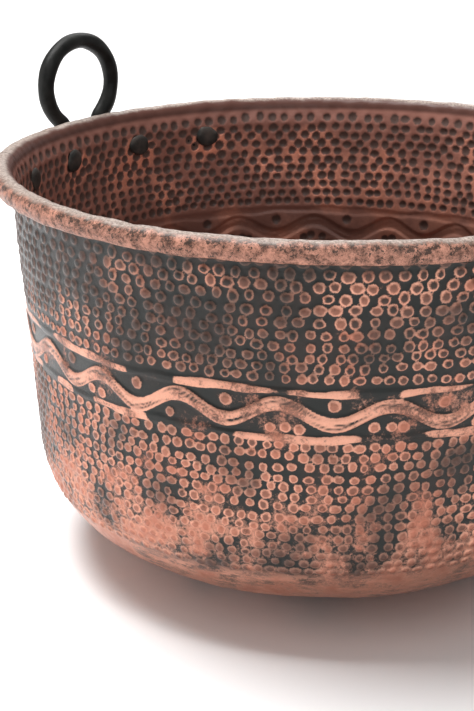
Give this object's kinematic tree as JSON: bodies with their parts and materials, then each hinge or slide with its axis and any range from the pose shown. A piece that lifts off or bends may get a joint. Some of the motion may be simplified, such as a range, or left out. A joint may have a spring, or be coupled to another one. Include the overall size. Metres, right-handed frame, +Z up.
{
  "type": "hammered copper cauldron bowl",
  "caption": "Deep round hammered copper bowl with a rolled, wire-stiffened rim, a raised wave band and riveted iron loop handles.",
  "frame": {"origin": "on the floor under the middle of the bowl", "axes": "+Z up along the bowl's axis, handles on +X and -X"},
  "size_m": [0.492, 0.4655, 0.3493],
  "materials": {
    "copper": "satin",
    "iron": "satin"
  },
  "bodies": {
    "root": {"bowl_shell": "copper", "rim_wire": "iron", "handle_left": "iron", "handle_right": "iron", "rivet_left_1": "iron", "rivet_left_2": "iron", "rivet_left_3": "iron", "rivet_left_4": "iron", "rivet_right_1": "iron", "rivet_right_2": "iron", "rivet_right_3": "iron", "rivet_right_4": "iron"}
  },
  "joints": []
}
